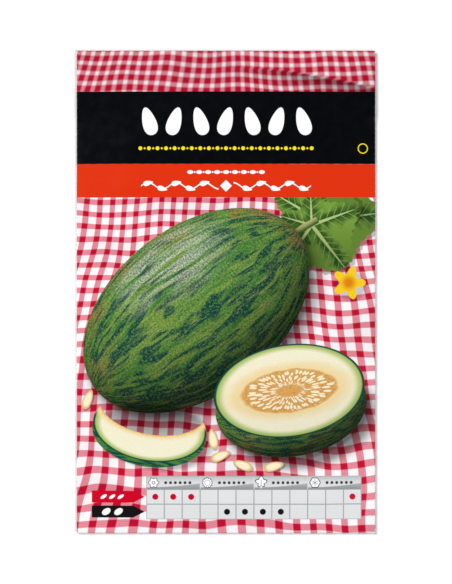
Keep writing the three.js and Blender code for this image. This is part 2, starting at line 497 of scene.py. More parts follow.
def noise(x, y, detail=2.0, roughness=0.5):
    """Cloudy values near 0.5 that change over about one unit of x and y."""
    values = on_sheet(x, y, Detail=detail, Roughness=roughness)
    return add_node(x.tree, "ShaderNodeTexNoise", values, "Fac", noise_dimensions="2D")


def from_cell_middle(x, y, scatter):
    """How far a place is from the middle of the cell that it lies in, on cells of about one unit."""
    values = on_sheet(x, y, Randomness=scatter)
    return add_node(x.tree, "ShaderNodeTexVoronoi", values, "Distance", voronoi_dimensions="2D")


print("two flat textures: clouds, and cells that lie scattered")

# %% Shapes on the sheet, in millimetres
EDGE = 0.12
Oval = namedtuple("Oval", "x y half_length half_width degrees")


def past(value, limit):
    """1 where a value is over a limit, with the softness of a printed edge."""
    return ramp(value, limit - EDGE / 2, limit + EDGE / 2)


def within(value, limit=0.0):
    """1 where a value is under a limit, with the softness of a printed edge."""
    return ramp(value, limit + EDGE / 2, limit - EDGE / 2)


def band(value, low, high):
    return past(value, low) * within(value, high)


def block(x, y, left, right, bottom, top):
    return band(x, left, right) * band(y, bottom, top)


def disc(x, y, radius):
    return within(length(x, y), radius)


def ruled(distance, width):
    """A line: 1 within half its width of a field's zero."""
    return within(abs(distance), width / 2)


def polar(x, y):
    """How far a place is from the zero of both, and in which direction."""
    return length(x, y), y.math("ARCTAN2", x)


def turned(x, y, degrees):
    """The same point measured along axes that are turned anticlockwise."""
    cosine, sine = math.cos(math.radians(degrees)), math.sin(math.radians(degrees))
    return x * cosine + y * sine, y * cosine - x * sine


def on_oval(x, y, oval):
    """A place measured from an oval's middle, from -1 to 1 along its length and across it."""
    along, across = turned(x - oval.x, y - oval.y, oval.degrees)
    return along / oval.half_length, across / oval.half_width


print("a printed edge is", EDGE, "mm soft")

# %% Colours as a screen shows them
def srgb(red, green, blue):
    """A colour as a screen shows it, from 0 to 255, in the linear values that the nodes use."""

    def linear(value):
        value /= 255
        return value / 12.92 if value <= 0.04045 else ((value + 0.055) / 1.055) ** 2.4

    return linear(red), linear(green), linear(blue)


print("the middle grey of a screen sends back", round(srgb(128, 128, 128)[0], 2), "of the light")

# %% [markdown]
# ## Node groups
#
# Printed skin, leaves, cloth and the paper's grain all turn up more than once. Their nodes could be made
# again each time, but a node group is made once, has named sockets, and can be opened and tried out in the
# shader editor. The helpers here make a group, fill in what it gives, and place it in another tree.

# %% Node groups
COLOUR, VALUE = "NodeSocketColor", "NodeSocketFloat"
PLACE = {"Along": 0.0, "Across": 0.0}
COVERING = {"Color": COLOUR, "Cover": VALUE}


def new_group(name, inputs, outputs):
    """A node group with named sockets, and its inputs as fields."""
    tree = bpy.data.node_groups.new(name, "ShaderNodeTree")
    for socket, value in inputs.items():
        tree.interface.new_socket(socket, in_out="INPUT", socket_type=VALUE).default_value = value
    for socket, kind in outputs.items():
        tree.interface.new_socket(socket, in_out="OUTPUT", socket_type=kind)
    source = tree.nodes.new("NodeGroupInput")
    return tree, [Field(source.outputs[socket]) for socket in inputs]


def finish_group(tree, **values):
    """Feeds what a group gives, and says how large the group is."""
    sink = tree.nodes.new("NodeGroupOutput")
    for socket, value in values.items():
        feed(sink.inputs[socket], value)
    print(tree.name, "group:", len(tree.nodes), "nodes")
    return tree


def use_group(group, *values):
    """Places a group in the tree of its first value, feeds it in order and gives its outputs as fields."""
    node = values[0].tree.nodes.new("ShaderNodeGroup")
    node.node_tree = group
    for slot, value in zip(node.inputs, values):
        feed(slot, value)
    return [Field(output) for output in node.outputs]


print("a group gives colours or values:", COLOUR, "or", VALUE)

# %% [markdown]
# ## Checked cloth
#
# The ground of the print is a picture of red and white checked cloth. Real checked cloth is woven from
# stripes both ways: it is full red where two red stripes cross, and pink where a red one crosses a white
# one, with single threads showing. A Checker Texture knows only two colours. So this group makes a soft
# stripe each way, mixes three colours from the two stripes, and rules fine threads into the pink.

# %% The checked cloth group
CLOTH_WHITE = srgb(252, 248, 250)
CLOTH_PINK = srgb(230, 138, 152)
CLOTH_RED = srgb(192, 10, 50)
THREADS_PER_CHECK = 10
THREAD_CONTRAST = 0.09


def make_checked_cloth():
    inputs = {"Across": 0.0, "Along": 0.0, "Stripe": 0.5, "Softness": 0.04}
    tree, (across, along, width, soft) = new_group("checked cloth", inputs, {"Color": COLOUR})

    def stripe(place):
        from_edge = abs(place.math("FRACT") - 0.5) - width / 2
        return ramp(from_edge, soft, -soft)

    def threads(place):
        return (place * (2 * math.pi * THREADS_PER_CHECK)).math("SINE")

    upright, level = stripe(across), stripe(along)
    either_way, both_ways = either(upright, level), upright * level
    hatching = (threads(across) * upright + threads(along) * level) * (either_way - both_ways)
    colour = layered(CLOTH_WHITE, (either_way, CLOTH_PINK), (both_ways, CLOTH_RED))
    return finish_group(tree, Color=scaled(colour, 1 + THREAD_CONTRAST * hatching))


checked_cloth = make_checked_cloth()

# %% [markdown]
# ## The skin of a printed melon
#
# The print shows fruit as a camera sees it: round, lit from one side, with streaks that close up towards
# the ends. Noise straight on the paper would look like wallpaper, and a modelled fruit would stand up from
# the sheet. So the group first turns a place in an oval into a place on a rounded body, as how far round it
# and how far along it. The streaks and flecks are noise that is stretched along the body, and the light is
# one direction measured against the round form.

# %% The melon skin group
SKIN_OLIVE = srgb(118, 150, 66)
SKIN_LEAF = srgb(70, 128, 58)
SKIN_DEEP = srgb(8, 70, 62)
SKIN_OCHRE = srgb(156, 118, 60)
SKIN_CORK = srgb(178, 176, 116)
SKIN_BLOOM = srgb(180, 190, 166)
POLE_LIMIT = 0.999


def make_melon_skin():
    inputs = {**PLACE, "Draw": 0.0, "Light along": 0.3, "Light across": 0.3}
    tree, (along, across, draw, light_along, light_across) = new_group("melon skin", inputs, COVERING)
    reach = along * along + across * across
    depth = root(1 - reach)
    round_it = across.math("ARCTAN2", depth)
    along_it = along.math("MINIMUM", POLE_LIMIT).math("MAXIMUM", -POLE_LIMIT).math("ARCSINE")
    wander = noise(round_it * 2 + draw, along_it * 2.4, 1.0) - 0.5
    girth = round_it + wander * 0.12
    streaks = noise(girth * 10 + draw, along_it * 1.2 + draw, 3.0)
    blotches = noise(girth * 13 + draw, along_it * 4.6 + draw, 1.5, 0.45)
    rows = noise(girth * 6 - draw, along_it * 0.8, 1.0)
    cork = noise(girth * 17 - draw, along_it * 2.2 + draw, 2.0, 0.6)
    grain = ramp(noise(along * 74 + draw, across * 50, 2.0, 0.7), 0.3, 0.7)
    specks = noise(along * 52 - draw, across * 36 + draw, 2.0, 0.75)
    warmth = noise(along * 2.6 - draw, across * 2.6, 3.0)

    slope = along * light_along + across * light_across
    darkness = blotches + (rows - 0.5) * 0.6 + (specks - 0.5) * 0.32 + ramp(slope, 0.25, -0.75) * 0.13
    light = slope + depth * 0.72
    glossy = ramp(light, 0.78, 1.04) * ramp(noise(girth * 16, along_it * 2.2 + draw, 3.0), 0.34, 0.62)
    colour = layered(
        SKIN_OLIVE,
        (ramp(streaks, 0.38, 0.6), SKIN_LEAF),
        (ramp(warmth, 0.48, 0.7) * ramp(depth, 0.85, 0.25) * 0.8, SKIN_OCHRE),
        (ramp(darkness, 0.53, 0.63) * 0.96, SKIN_DEEP),
        (ramp(abs(cork - 0.5), 0.03, 0.0) * ramp(warmth, 0.4, 0.6) * 0.5, SKIN_CORK),
        (ramp(specks, 0.52, 0.64) * 0.6, SKIN_OLIVE),
        (ramp(specks, 0.46, 0.34) * 0.45, SKIN_DEEP),
        (glossy * (0.45 + 0.55 * grain), SKIN_BLOOM),
    )
    shade = (0.14 + 0.86 * ramp(light, -0.35, 0.96)) * (0.66 + 0.68 * grain)
    return finish_group(tree, Color=scaled(colour, shade), Cover=ramp(reach, 1.0, 0.985))


melon_skin = make_melon_skin()

# %% [markdown]
# ## The face of a cut melon
#
# A cut melon shows a thin dark rind, pale green under it, cream flesh, and a hollow with seeds in wet
# fibres. These are layers from the outside in, so the colour depends only on how far a place is from the
# middle of the cut, and the group is a chain of soft rings. The seeds could be ovals set one by one, but a
# hundred of them are a thousand nodes. They are the cells of one Voronoi texture, laid out by angle and
# distance, so that they point to the middle as real ones do.

# %% The cut melon group
RIND_PALE = srgb(170, 192, 104)
FLESH = srgb(243, 237, 208)
FLESH_WARM = srgb(240, 218, 164)
PULP = srgb(236, 186, 104)
SEED_CREAM = srgb(250, 238, 202)
SEED_SHADE = srgb(196, 132, 62)
HOLLOW_LENGTH, HOLLOW_WIDTH = 0.64, 0.46
SEEDS_ROUND, SEEDS_INWARD, SEED_SCATTER = 7.5, 4.2, 0.7


def make_cut_melon():
    tree, (along, across) = new_group("cut melon", PLACE, COVERING)
    reach, turn = polar(along, across)
    wobble = (noise(along * 5, across * 5, 2.0) - 0.5) * 0.12
    hollow = length(along / HOLLOW_LENGTH, across / HOLLOW_WIDTH) + wobble
    fibres = noise(along * 26, across * 26, 3.0)
    cell = from_cell_middle(turn * SEEDS_ROUND, hollow * SEEDS_INWARD, SEED_SCATTER)
    inside = ramp(hollow, 0.97, 0.88) * ramp(hollow, 0.22, 0.34)
    colour = layered(
        SKIN_DEEP,
        (ramp(reach, 0.975, 0.95), RIND_PALE),
        (ramp(reach, 0.95, 0.83), FLESH),
        (ramp(hollow, 1.5, 1.05), FLESH_WARM),
        (ramp(hollow, 1.04, 0.95), blend(fibres, SEED_SHADE, PULP)),
        (inside * ramp(cell, 0.5, 0.42), SEED_SHADE),
        (inside * ramp(cell, 0.42, 0.33), SEED_CREAM),
    )
    shade = (0.94 + 0.1 * fibres) * (0.9 + 0.1 * ramp(across, -0.9, 0.4))
    return finish_group(tree, Color=scaled(colour, shade), Cover=ramp(reach, 1.0, 0.99))


cut_melon = make_cut_melon()

# %% [markdown]
# ## A vine leaf
#
# A melon leaf is a rounded hand with five soft lobes and a toothed edge, and one vein runs from the stalk
# into each lobe, thick at its foot and fine at its tip. It could be drawn from many small curves. In polar
# terms it is only a radius that swings with the angle, so the outline is a sum of cosines round the stalk,
# the same angle finds the nearest vein, and the way that is left to the outline gives the vein's width.

# %% The vine leaf group
LEAF_DARK = srgb(44, 88, 30)
LEAF_LIGHT = srgb(118, 156, 62)
LEAF_VEIN = srgb(184, 202, 128)
LEAF_LOBES, LEAF_TEETH, SIDE_VEINS = 5, 37, 7.5


def cosine(field):
    return field.math("COSINE")


def from_nearest(field, pitch=1.0, shift=0.0):
    """How far a field is from the nearest multiple of a pitch, all shifted by a share of the pitch."""
    return abs((field / pitch + (0.5 + shift)).math("FRACT") - 0.5) * pitch


def make_vine_leaf():
    tree, (along, across) = new_group("vine leaf", PLACE, COVERING)
    distance, angle = polar(along, across)
    inward = 0.66 + 0.22 * cosine(angle) + 0.09 * cosine(angle * LEAF_LOBES) - distance
    edge = inward + 0.016 * cosine(angle * LEAF_TEETH)
    off_vein = from_nearest(angle, 2 * math.pi / LEAF_LOBES) * distance
    off_side_vein = from_nearest((distance - off_vein) * SIDE_VEINS)
    mottle = noise(along * 6, across * 6, 4.0, 0.65)
    colour = layered(
        LEAF_DARK,
        (ramp(off_vein + (mottle - 0.5) * 0.4, 0.0, 0.24), LEAF_LIGHT),
        (ramp(off_side_vein, 0.09, 0.02) * ramp(off_vein, 0.26, 0.08) * 0.45, LEAF_VEIN),
        (ramp(off_vein / (inward + 0.12), 0.05, 0.022), LEAF_VEIN),
    )
    shade = 0.66 + 0.34 * ramp(across - along, -0.8, 0.5)
    return finish_group(tree, Color=scaled(colour, shade), Cover=ramp(edge, -0.012, 0.012))


vine_leaf = make_vine_leaf()

# %% [markdown]
# ## The cloth in the picture
#
# The cloth lies away from the viewer, so its checks shrink towards the top. A second plane could be
# rendered in perspective and used as a picture, but the same view is a short formula. Dividing the place by
# a check size that falls with height gives both the smaller checks and the leaning columns of real
# perspective, and the logarithm of that size counts the rows. Slow noise bends the rows a little, as soft
# cloth does, and one rumple near the top throws a shadow on the cloth under it.

# %% The cloth
CHECK_AT_BOTTOM, CHECK_AT_TOP = 5.06, 2.7
CHECK_SHRINKING = (CHECK_AT_BOTTOM - CHECK_AT_TOP) / PACKET_HEIGHT
CHECK_FORESHORTENING = 0.95
COLUMN_SHIFT = 2.0
FAR_START, FAR_END, FAR_SHADE = 20.0, 58.0, 0.17
STRIPE_NEAR, STRIPE_WIDENING = 0.43, 0.19
BLUR_NEAR, BLUR_RISE = 0.035, 0.085
RUMPLE_X, RUMPLE_Y, RUMPLE_RISE, RUMPLE_LENGTH, RUMPLE_SHADE = 41.0, 54.6, 0.26, 46.0, 0.62


def rumple(x, y):
    """How far a place is above the rumple's edge, and how strong the rumple is there."""
    along = (RUMPLE_X - x).math("MAXIMUM", 0.0)
    edge = RUMPLE_Y + RUMPLE_RISE * along - RUMPLE_RISE / 2 / RUMPLE_LENGTH * along * along
    return y - edge, ramp(along, RUMPLE_LENGTH, RUMPLE_LENGTH * 0.35)


def cloth_ground(x, y):
    size = CHECK_AT_BOTTOM - CHECK_SHRINKING * (y + PACKET_HEIGHT / 2)
    rows = size.math("LOGARITHM", math.e) / (-CHECK_FORESHORTENING * CHECK_SHRINKING)
    bend = noise(x * 0.035, y * 0.03 + 4.0, 1.0) - 0.5
    sway = noise(x * 0.05 + 9.0, y * 0.04, 1.0) - 0.5
    above, strength = rumple(x, y)
    under = ramp(above, 0.5, -0.5) * strength
    across = (x - COLUMN_SHIFT) / size + bend * 1.2 + under * 0.4
    along = rows + sway * 0.95 + under * 0.35
    far = ramp(y, FAR_START, FAR_END)
    stripe, blur = STRIPE_NEAR + STRIPE_WIDENING * far, BLUR_NEAR + BLUR_RISE * far
    (colour,) = use_group(checked_cloth, across, along, stripe, blur)
    folds = ramp(noise(x * 0.035 + y * 0.03, y * 0.06 - x * 0.02, 2.0), 0.3, 0.55)
    shadow = under * ramp(above, -6.0, -0.2)
    light = (0.9 + 0.1 * folds) * (1 - RUMPLE_SHADE * shadow) * (1 - FAR_SHADE * far)
    return scaled(colour, light)


print("a check is", CHECK_AT_BOTTOM, "mm at the foot of the front and", CHECK_AT_TOP, "mm at its head")

# %% [markdown]
# ## Laying up the picture
#
# The picture is laid up from back to front like a collage: cloth, leaves and a flower, a whole melon that
# lies aslant, half a melon that shows its flesh, a slice, and loose seeds. Each could be a see-through
# sticker on a mesh of its own, but ink has no thickness. So each piece is a function that takes the colour
# so far, darkens it by a soft shadow, and lays its own colour over it where it covers. The layout is this
# lesson's own, in millimetres from the middle of the front.

# %% Whole and halved fruit
LIGHT_X, LIGHT_Y = -0.36, 0.6
SHADOW_X, SHADOW_Y, SHADOW_DEPTH = 2.4, -3.2, 0.74
CONTACT_SPREAD, CONTACT_DEPTH = 0.3, 0.5
BODY_SHIFT, BODY_DROP, BODY_MARGIN = 0.5, 4.2, 1.0


def shaded(x, y, colour, oval, spread=1.0, depth=SHADOW_DEPTH):
    """Darkens a colour under an oval, softer and further off for a larger spread."""
    moved = oval._replace(x=oval.x + SHADOW_X * spread, y=oval.y + SHADOW_Y * spread)
    reach = length(*on_oval(x, y, moved))
    return scaled(colour, 1 - depth * ramp(reach, 1 + spread * 0.14, 1 - spread * 0.12))


def whole_melon(x, y, colour, oval, draw):
    colour = shaded(x, y, shaded(x, y, colour, oval), oval, CONTACT_SPREAD, CONTACT_DEPTH)
    light = turned(LIGHT_X, LIGHT_Y, oval.degrees)
    skin, cover = use_group(melon_skin, *on_oval(x, y, oval), draw, *light)
    return blend(cover, colour, skin)


def half_melon(x, y, colour, oval, draw):
    """The rounded skin of the half, and the cut face that looks up from it."""
    low, wide = oval.y - BODY_DROP, oval.half_width + BODY_MARGIN
    body = oval._replace(x=oval.x + BODY_SHIFT, y=low, half_width=wide)
    colour = whole_melon(x, y, colour, body, draw)
    face, cover = use_group(cut_melon, *on_oval(x, y, oval))
    return blend(cover, colour, face)


print("the picture's light comes from", round(math.degrees(math.atan2(LIGHT_Y, LIGHT_X))), "degrees")

# %% A slice
SLICE_DEPTH, SLICE_STREAKS, SLICE_SHADOW_SPREAD = 1.5, 16.0, 0.7


def slice_of_melon(x, y, colour, oval):
    """A crescent: an oval less a smaller one above it. Below its face shows the rind that it lies on."""
    colour = shaded(x, y, colour, oval, SLICE_SHADOW_SPREAD, CONTACT_DEPTH)
    along, across = on_oval(x, y, oval)
    low = across + SLICE_DEPTH / oval.half_width
    rind, under_rind = length(along, across), length(along, low)
    bite = length(along / 0.95, (across - 0.66) / 0.86)
    under = ramp(under_rind, 1.0, 0.985) * ramp(bite, 0.98, 1.0)
    streaks = ramp(noise(along * 3.0, low * SLICE_STREAKS, 3.0), 0.4, 0.6)
    flesh = layered(
        SKIN_DEEP,
        (ramp(rind, 0.97, 0.94), RIND_PALE),
        (ramp(rind, 0.94, 0.82), FLESH),
        (ramp(bite, 1.2, 1.03), FLESH_WARM),
        (ramp(bite + 0.1 * noise(x * 1.2, y * 1.2, 2.0), 1.12, 1.04), PULP),
    )
    cover = ramp(rind, 1.0, 0.985) * ramp(bite, 0.985, 1.0)
    face = scaled(flesh, 0.94 + 0.1 * noise(x * 2.0, y * 2.0, 2.0))
    return layered(colour, (under, blend(streaks, SKIN_LEAF, SKIN_DEEP)), (cover, face))


print("a slice shows", SLICE_DEPTH, "mm of its rind")

# %% Leaves, a stalk and a flower
FLOWER_YELLOW = srgb(250, 206, 34)
FLOWER_ORANGE = srgb(222, 132, 18)
PETALS = 5
LEAF_SHADOW_ALONG, LEAF_SHADOW_ACROSS, LEAF_SHADOW_DEPTH = 0.5, -1.0, 0.45


def leaf(x, y, colour, foot, size, degrees):
    along, across = turned(x - foot[0], y - foot[1], degrees)
    shadow_place = (along - LEAF_SHADOW_ALONG) / size, (across - LEAF_SHADOW_ACROSS) / size
    _, shadow = use_group(vine_leaf, *shadow_place)
    green, cover = use_group(vine_leaf, along / size, across / size)
    return blend(cover, scaled(colour, 1 - LEAF_SHADOW_DEPTH * shadow), green)


def flower(x, y, colour, centre, size):
    """Five yellow petals round an orange eye."""
    dx, dy = (x - centre[0]) / size, (y - centre[1]) / size
    distance, angle = polar(dx, dy)
    petals = 0.76 + 0.24 * cosine(angle * PETALS)
    creases = 0.86 + 0.14 * ramp(abs((angle * 2 * PETALS).math("SINE")), 0.0, 0.5)
    petal = scaled(blend(ramp(distance, 0.6, 0.1), FLOWER_YELLOW, FLOWER_ORANGE), creases)
    colour = scaled(colour, 1 - 0.4 * ramp(length(dx - 0.12, dy + 0.16), 1.1, 0.7))
    eye = ramp(distance, 0.2, 0.12)
    return layered(colour, (ramp(distance - petals, 0.03, -0.03), petal), (eye, FLOWER_ORANGE))


def stalk(x, y, colour, start, end, half_width):
    """A short stalk from one point to another, a little bent."""
    span = math.dist(start, end)
    degrees = math.degrees(math.atan2(end[1] - start[1], end[0] - start[0]))
    along, across = turned(x - start[0], y - start[1], degrees)
    from_middle = along / span - 0.5
    off_axis = abs(across + 0.4 * from_middle * from_middle)
    cover = ramp(off_axis, half_width + 0.1, half_width - 0.1) * band(along, 0.0, span)
    return blend(cover, colour, blend(ramp(across, -half_width, half_width), LEAF_DARK, SKIN_CORK))


print("a flower has", PETALS, "petals, and its colours in linear light are", FLOWER_YELLOW, FLOWER_ORANGE)

# %% Loose seeds
SEED_HALF_LENGTH, SEED_HALF_WIDTH, SEED_POINT = 2.9, 1.25, 0.25
SEED_SHADOW_SPREAD, SEED_SHADOW_DEPTH = 0.12, 0.45
SEED_RIM = srgb(212, 178, 116)


def loose_seed(x, y, colour, centre, degrees):
    oval = Oval(*centre, SEED_HALF_LENGTH, SEED_HALF_WIDTH, degrees)
    along, across = on_oval(x, y, oval)
    rim = length(along, across * (1 + SEED_POINT * along))
    seed = blend(ramp(rim, 0.95, 0.5), SEED_RIM, SEED_CREAM)
    colour = shaded(x, y, colour, oval, SEED_SHADOW_SPREAD, SEED_SHADOW_DEPTH)
    return blend(ramp(rim, 1.0, 0.92), colour, seed)


print("a loose seed in the picture is", 2 * SEED_HALF_LENGTH, "mm long")

# %% The picture
WHOLE = Oval(-8.0, -5.0, 34.5, 22.5, 38)
HALF = Oval(17.0, -26.5, 20.5, 12.5, 8)
SLICE = Oval(-20.5, -36.5, 15.5, 9.0, -9)
STALK_START, STALK_END, STALK_HALF_WIDTH = (18.0, 15.5), (24.5, 19.5), 0.9
LEAVES = (((25, 19), 17, 8), ((24, 20), 15, 78), ((23, 18), 15, -52))
FLOWER = ((33.0, 2.5), 4.6)
LOOSE_SEEDS = (
    ((-1.5, -44), 24),
    ((4.5, -46.5), 160),
    ((-37.2, -28.9), 68),
    ((12.8, -46.8), 14),
    ((-3.5, -39.5), 100),
)
FIRST_DRAW, SECOND_DRAW = 4.0, 21.0


def picture(x, y):
    colour = cloth_ground(x, y)
    for foot, size, degrees in LEAVES:
        colour = leaf(x, y, colour, foot, size, degrees)
    colour = flower(x, y, colour, *FLOWER)
    colour = stalk(x, y, colour, STALK_START, STALK_END, STALK_HALF_WIDTH)
    colour = whole_melon(x, y, colour, WHOLE, FIRST_DRAW)
    colour = half_melon(x, y, colour, HALF, SECOND_DRAW)
    colour = slice_of_melon(x, y, colour, SLICE)
    for centre, degrees in LOOSE_SEEDS:
        colour = loose_seed(x, y, colour, centre, degrees)
    return colour


print("leaves:", len(LEAVES), "loose seeds:", len(LOOSE_SEEDS), "and one melon each whole, halved and sliced")

# %% [markdown]
# ## Bands and ornaments
#
# Two plain bands cross the front, a black one and an orange-red one. They carry ornaments: a row of seven
# pale seeds over a row of yellow dots, a small yellow ring, and a white vine with leaves. Drawing each seed
# by itself would take seven times the nodes. So a row is one shape that is repeated by the fraction of the
# distance along it, and whether the whole part is odd or even leans the shape to one side or the other.

# %% The bands' colours and heights
BAND_BLACK = srgb(2, 3, 7)
BAND_RED = srgb(223, 50, 13)
ORNAMENT_WHITE = srgb(255, 255, 255)
ORNAMENT_YELLOW = srgb(246, 230, 30)
BLACK_TOP, BLACK_BOTTOM, RED_BOTTOM = 53.9, 34.4, 25.4
print("black and red band in mm:", round(BLACK_TOP - BLACK_BOTTOM, 1), round(BLACK_BOTTOM - RED_BOTTOM, 1))

# %% The seed row, the dot row and the ring
SEED_ROW_Y, SEED_ROW_PITCH, SEED_ROW_COUNT = 45.9, 6.9, 7
ROW_SEED_HALF_LENGTH, ROW_SEED_HALF_WIDTH, ROW_SEED_LEAN = 4.0, 1.9, 0.3
DOT_ROW_Y, DOT_PITCH, DOT_ROW_HALF_LENGTH = 38.6, 2.3, 23.69
ROW_DOT_RADIUS, ROW_DIAMOND_REACH = 0.52, 0.34
RING_X, RING_RADIUS, RING_LINE = 36.8, 1.25, 0.26


def repeated(steps, pitch):
    """How far a place is from the middle of its step, and -1 or 1 in turn from step to step."""
    return (steps.math("FRACT") - 0.5) * pitch, (steps.math("FLOOR") * 0.5).math("FRACT") * 4 - 1


def centred(x, half_length):
    return band(x, -half_length, half_length)


def seed_row(x, y, middle_y, scale=1.0):
    """Seven seeds that lean to the left and to the right in turn."""
    pitch = SEED_ROW_PITCH * scale
    local_x, side = repeated(x / pitch + SEED_ROW_COUNT / 2, pitch)
    local_y = y - middle_y
    lean = side * ROW_SEED_LEAN
    along = (local_y + local_x * lean) / (ROW_SEED_HALF_LENGTH * scale)
    across = (local_x - local_y * lean) / (ROW_SEED_HALF_WIDTH * scale)
    drop = length(along, across * (1 + 0.32 * along))
    return ramp(drop, 1.03, 0.97) * centred(x, pitch * SEED_ROW_COUNT / 2)


def dot_row(x, y):
    """Yellow dots with a small diamond between each two."""
    from_dot, from_diamond = (from_nearest(x, DOT_PITCH, shift) for shift in (0.0, 0.5))
    diamonds = within(from_diamond + abs(y - DOT_ROW_Y), ROW_DIAMOND_REACH)
    dots = either(disc(from_dot, y - DOT_ROW_Y, ROW_DOT_RADIUS), diamonds)
    return dots * centred(x, DOT_ROW_HALF_LENGTH)


def ring(x, y):
    return ruled(length(x - RING_X, y - DOT_ROW_Y) - RING_RADIUS, RING_LINE)


print("seed row:", round(SEED_ROW_COUNT * SEED_ROW_PITCH, 1), "mm, dot row:", 2 * DOT_ROW_HALF_LENGTH, "mm")

# %% The vine and the small row
SMALL_ROW_Y, SMALL_ROW_PITCH, SMALL_ROW_HALF_LENGTH = 32.2, 2.4, 10.54
VINE_Y, VINE_WAVE, VINE_SWING, VINE_LINE = 28.5, 7.6, 0.85, 0.38
VINE_START, VINE_HALF_LENGTH = 2.0, VINE_WAVE * 3
BLADE_SLANT = -14


def vine(x, y, middle_y):
    """A wavy stem with a leaf in each hollow and a diamond in the middle."""
    turns = x / VINE_WAVE
    stem = middle_y + VINE_SWING * (turns * (2 * math.pi)).math("SINE")
    line = ruled(y - stem, VINE_LINE) * band(abs(x), VINE_START, VINE_HALF_LENGTH)
    local_x, side = repeated(turns * 2, VINE_WAVE / 2)
    along, across = turned(local_x, (y - middle_y) * side + 0.75, BLADE_SLANT)
    blade = length(along / 1.35, across / (0.62 - 0.25 * along))
    blades = ramp(blade, 1.05, 0.93) * band(abs(x), VINE_WAVE / 2, VINE_HALF_LENGTH)
    diamond = ramp(abs(x) + abs(y - middle_y), 1.65, 1.5)
    return either(diamond, line, blades)


def small_row(x, y):
    """A short row of dots and dashes over the vine."""
    from_dash, from_dot = (from_nearest(x, SMALL_ROW_PITCH, shift) for shift in (0.0, 0.5))
    dashes = ramp(length(from_dash / 0.8, (y - SMALL_ROW_Y) / 0.5), 1.15, 0.85)
    dots = disc(from_dot, y - SMALL_ROW_Y, 0.24)
    return either(dashes, dots) * centred(x, SMALL_ROW_HALF_LENGTH)


def bands(x, y, colour):
    white = either(seed_row(x, y, SEED_ROW_Y), small_row(x, y), vine(x, y, VINE_Y))
    return layered(
        colour,
        (band(y, BLACK_BOTTOM, BLACK_TOP), BAND_BLACK),
        (band(y, RED_BOTTOM, BLACK_BOTTOM), BAND_RED),
        (white, ORNAMENT_WHITE),
        (either(dot_row(x, y), ring(x, y)), ORNAMENT_YELLOW),
    )


print("vine:", round(2 * VINE_HALF_LENGTH, 1), "mm, small row:", 2 * SMALL_ROW_HALF_LENGTH, "mm")

# %% [markdown]
# ## The sowing chart
#
# At the foot of the front is a chart of twelve months in four seasons, with red dots for sowing, black dots
# for harvest, and an arrow-shaped tag before each row. Twelve columns could be twelve boxes, but months and
# seasons repeat, so the grid lines come from fractions again, and each dot is a disc in the middle of its
# cell. The heads of the seasons are a silvery bar with a curved gloss, and each has a small sign of its
# own.

# %% The chart's grid
CHART_LEFT, CHART_RIGHT = -21.4, 36.4
CHART_TOP, HEADER_BOTTOM, ROW_LINE, CHART_BOTTOM = -49.4, -53.0, -57.0, -61.1
MONTHS, SEASONS = 12, 4
MONTH_WIDTH = (CHART_RIGHT - CHART_LEFT) / MONTHS
SEASON_WIDTH = (CHART_RIGHT - CHART_LEFT) / SEASONS
CELL_GREY, LINE_GREY = srgb(226, 227, 228), srgb(166, 170, 172)
SILVER_TOP, SILVER_PALE = srgb(193, 194, 196), srgb(221, 222, 224)
SILVER_DIM, SILVER_DARK = srgb(176, 178, 180), srgb(148, 150, 152)
GRID_LINE, SEASON_LINE = 0.3, 0.16
GLOSS_LOW, GLOSS_RISE = 0.55, 1.1


def any_line(width, *distances):
    """Lines of one width at the zeros of several fields."""
    return either(*(ruled(distance, width) for distance in distances))


def silver_head(x, y):
    """The bar over the months: pale over a curved edge of gloss in each season, and dark under it."""
    season = ((x - CHART_LEFT) / SEASON_WIDTH).math("FRACT")
    gloss_edge = HEADER_BOTTOM + GLOSS_LOW + GLOSS_RISE * season * season
    above = blend(ramp(y, CHART_TOP, HEADER_BOTTOM + 1.6), SILVER_TOP, SILVER_PALE)
    below = blend(ramp(y, HEADER_BOTTOM + 1.8, HEADER_BOTTOM), SILVER_DIM, SILVER_DARK)
    silver = blend(ramp(y - gloss_edge, -0.1, 0.1), below, above)
    return blend(ruled(from_nearest(x - CHART_LEFT, SEASON_WIDTH), SEASON_LINE), silver, SILVER_PALE)


def chart_grid(x, y, colour):
    area = block(x, y, CHART_LEFT, CHART_RIGHT, CHART_BOTTOM, CHART_TOP)
    months = from_nearest(x - CHART_LEFT, MONTH_WIDTH)
    lines = any_line(GRID_LINE, months, y - ROW_LINE, y - HEADER_BOTTOM)
    rim = any_line(GRID_LINE, x - CHART_LEFT, x - CHART_RIGHT, y - CHART_TOP, y - CHART_BOTTOM)
    return layered(
        colour,
        (area, blend(lines, CELL_GREY, LINE_GREY)),
        (area * past(y, HEADER_BOTTOM), silver_head(x, y)),
        (area * rim, LINE_GREY),
    )


print("a month is", round(MONTH_WIDTH, 2), "mm wide and a season", round(SEASON_WIDTH, 2), "mm")

# %% The seasons' signs
SIGN_X, SIGN_Y = 1.95, (CHART_TOP + HEADER_BOTTOM) / 2
SIGN_OUTLINE, SIGN_LINE = 0.2, 0.12
SIGN_GREY, INK = srgb(58, 60, 62), srgb(18, 18, 20)
RULE_START, RULE_END, RULE_PITCH, RULE_DOT_RADIUS = 4.4, 12.2, 1.3, 0.4


def round_sign(petals, radius, swing, eye_radius, eye_line):
    """Makes a sign with petals or rays round a ring: how far a place is outside of it, and its lines."""

    def sign(dx, dy):
        distance, angle = polar(dx, dy)
        return distance - radius - swing * cosine(angle * petals), ruled(distance - eye_radius, eye_line)

    return sign


def leaf_sign(dx, dy):
    distance, angle = polar(dy, dx)
    lobes = 1.1 + 0.3 * cosine(angle) + 0.28 * cosine(angle * 5)
    stem = block(dx, dy, -0.12, 0.12, -1.6, -0.2)
    return (distance - lobes) * 0.8 - stem, ruled(dx, SIGN_LINE) * band(dy, -0.9, 0.7)


